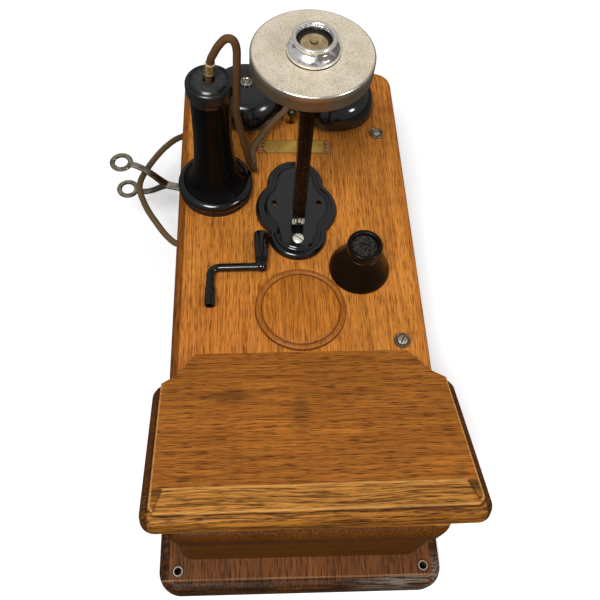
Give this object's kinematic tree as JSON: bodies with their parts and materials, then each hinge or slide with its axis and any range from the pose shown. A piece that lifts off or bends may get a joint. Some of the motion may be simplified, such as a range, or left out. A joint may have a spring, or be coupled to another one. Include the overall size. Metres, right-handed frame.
{
  "type": "wall telephone",
  "caption": "Oak wall telephone with hand magneto: hinged front, sloping writing shelf, tilting transmitter arm, bells, hook, corded receiver, loose mouthpiece and crank.",
  "frame": {"origin": "centre of the backboard's back face, in the middle of the four wall screw holes", "axes": "+X to the right across the front, +Y towards the top end, +Z out of the front"},
  "size_m": [0.293, 0.508, 0.3176],
  "materials": {
    "oak_board": "satin varnish, dark",
    "oak_case": "satin varnish",
    "oak_door": "satin varnish, golden oak",
    "oak_shelf": "satin varnish, reddish brown",
    "black_japan": "gloss black japan, worn edges",
    "hard_rubber": "satin hard rubber",
    "moulded_black": "moulded, brownish black",
    "aged_nickel": "aged nickel plate",
    "bright_nickel": "polished nickel plate",
    "dark_steel": "darkened steel",
    "brass": "aged brass",
    "magnet_red": "red enamel",
    "coil_wrap": "varnished cloth",
    "tinned_can": "dull tinplate",
    "fibre": "vulcanised fibre",
    "cord_braid": "braided cotton"
  },
  "bodies": {
    "case": {"backboard": "oak_board", "eyelet_1": "dark_steel", "eyelet_2": "dark_steel", "eyelet_3": "dark_steel", "eyelet_4": "dark_steel", "left_wall": "oak_case", "right_wall": "oak_case", "top_wall": "oak_case", "bottom_wall": "oak_case", "magnets": "magnet_red", "magneto_frame": "brass", "drive_bushing": "bright_nickel", "induction_coil": "coil_wrap", "condenser": "tinned_can", "terminal_block": "fibre", "hook_bracket": "dark_steel", "contact_springs": "brass", "cord_grommet": "brass", "case_leaf_1": "brass", "case_leaf_2": "brass", "cord_loop": "cord_braid"},
    "front_door": {"door_panel": "oak_door", "door_leaf_1": "brass", "door_leaf_2": "brass", "door_screw_1": "bright_nickel", "door_screw_2": "bright_nickel", "cup_washer_1": "dark_steel", "cup_washer_2": "dark_steel", "shelf": "oak_shelf", "dial_blank": "oak_door", "nameplate": "brass", "arm_base": "black_japan", "base_screw": "bright_nickel", "arm_pin": "bright_nickel", "gong_1": "black_japan", "gong_2": "black_japan", "gong_post_1": "dark_steel", "gong_post_2": "dark_steel", "ringer_frame": "dark_steel", "ringer_coil_1": "coil_wrap", "ringer_coil_2": "coil_wrap", "cord_run": "cord_braid"},
    "transmitter_arm": {"arm": "black_japan", "transmitter_cup": "black_japan", "faceplate": "aged_nickel", "collar": "bright_nickel", "diaphragm": "brass"},
    "clapper": {"clapper": "dark_steel"},
    "hook": {"hook_lever": "aged_nickel"},
    "magneto_drive": {"drive_shaft": "dark_steel"},
    "magneto_armature": {"armature": "dark_steel"},
    "receiver": {"receiver_shell": "hard_rubber", "ear_cap": "hard_rubber", "receiver_diaphragm": "dark_steel", "tail_cap": "hard_rubber", "cord_ferrule": "brass", "receiver_cord": "cord_braid"},
    "mouthpiece": {"mouthpiece": "moulded_black"},
    "crank": {"crank": "black_japan"},
    "grip": {"crank_grip": "black_japan"}
  },
  "joints": [
    {"name": "door_hinge", "type": "hinge", "parent": "case", "child": "front_door", "pos_m": [-0.1035, 0, 0.102], "axis": [0, -1, 0], "range_deg": [0, 95]},
    {"name": "arm_tilt", "type": "hinge", "parent": "front_door", "child": "transmitter_arm", "pos_m": [0.001, 0.0336, 0.1344], "axis": [1, 0, 0], "range_deg": [-25, 25]},
    {"name": "clapper_swing", "type": "hinge", "parent": "front_door", "child": "clapper", "pos_m": [0, 0.158, 0.095], "axis": [0, 1, 0], "range_deg": [-6, 6], "stiffness_Nm_per_rad": 0.05},
    {"name": "hook_pivot", "type": "hinge", "parent": "case", "child": "hook", "pos_m": [-0.062, 0.097, 0.082], "axis": [0, 0, 1], "range_deg": [0, 13], "stiffness_Nm_per_rad": 1.2, "springref_deg": -5.73},
    {"name": "drive_spin", "type": "hinge", "parent": "case", "child": "magneto_drive", "pos_m": [0.06, 0.035, 0.066], "axis": [1, 0, 0], "continuous": true},
    {"name": "armature_spin", "type": "hinge", "parent": "case", "child": "magneto_armature", "pos_m": [0.05, 0.0099, 0.0409], "axis": [1, 0, 0], "continuous": true},
    {"name": "receiver_lift", "type": "slide", "parent": "front_door", "child": "receiver", "axis": [0, 0, 1], "range_m": [0, 0.08]},
    {"name": "mouthpiece_lift", "type": "slide", "parent": "front_door", "child": "mouthpiece", "axis": [0, 0, 1], "range_m": [0, 0.05]},
    {"name": "crank_lift", "type": "slide", "parent": "front_door", "child": "crank", "axis": [0, 0, 1], "range_m": [0, 0.05]},
    {"name": "grip_spin", "type": "hinge", "parent": "crank", "child": "grip", "pos_m": [-0.0313, 0.01, 0.1288], "axis": [0, 1, 0], "continuous": true}
  ],
  "couplings": [
    {"joint": "armature_spin", "follows": "drive_spin", "ratio": -4}
  ]
}
